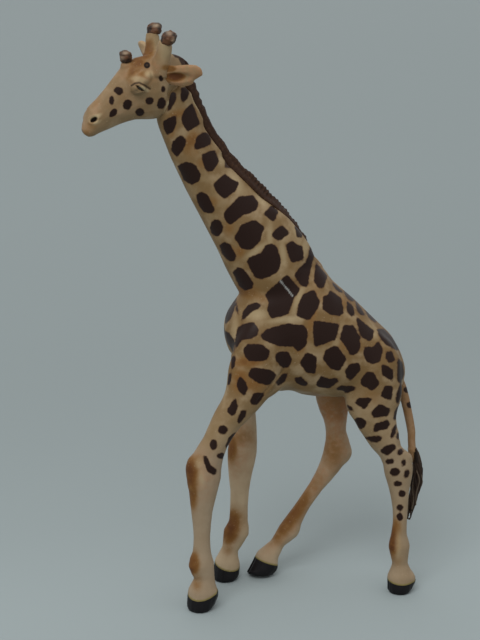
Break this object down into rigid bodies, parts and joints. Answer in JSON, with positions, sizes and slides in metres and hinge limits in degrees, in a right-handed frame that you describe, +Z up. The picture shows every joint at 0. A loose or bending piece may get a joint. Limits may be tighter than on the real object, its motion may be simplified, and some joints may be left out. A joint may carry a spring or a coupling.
{
  "type": "toy wild animal figure",
  "caption": "Walking giraffe figurine with a moulded trunk, plugged-in neck, head and legs, raised mane, capped horns, hooves and a tufted tail, standing on flat soles.",
  "frame": {"origin": "middle of the figure's box on the ground plane, between the hooves", "axes": "+Z up, the figure walks towards -X, its left side faces -Y"},
  "size_m": [0.1108, 0.0318, 0.1904],
  "materials": {
    "coat": "pale tan paint with dark brown patches and ochre washes, satin",
    "hair": "very dark brown paint, satin",
    "horn": "brown paint with pale dry-brushed flecks",
    "nail": "glossy black paint",
    "eye": "glossy black paint"
  },
  "bodies": {
    "root": {"torso": "coat", "neck": "coat", "mane": "hair", "head": "coat", "ear_left": "coat", "ear_right": "coat", "ossicone_cap_left": "horn", "ossicone_cap_right": "horn", "ossicone_cap_front": "horn", "eye_left": "eye", "eye_right": "eye", "front_left_leg": "coat", "front_right_leg": "coat", "rear_left_leg": "coat", "rear_right_leg": "coat", "hoof_front_left": "nail", "hoof_front_right": "nail", "hoof_rear_left": "nail", "hoof_rear_right": "nail", "tail": "coat", "tail_tuft": "hair"}
  },
  "joints": []
}
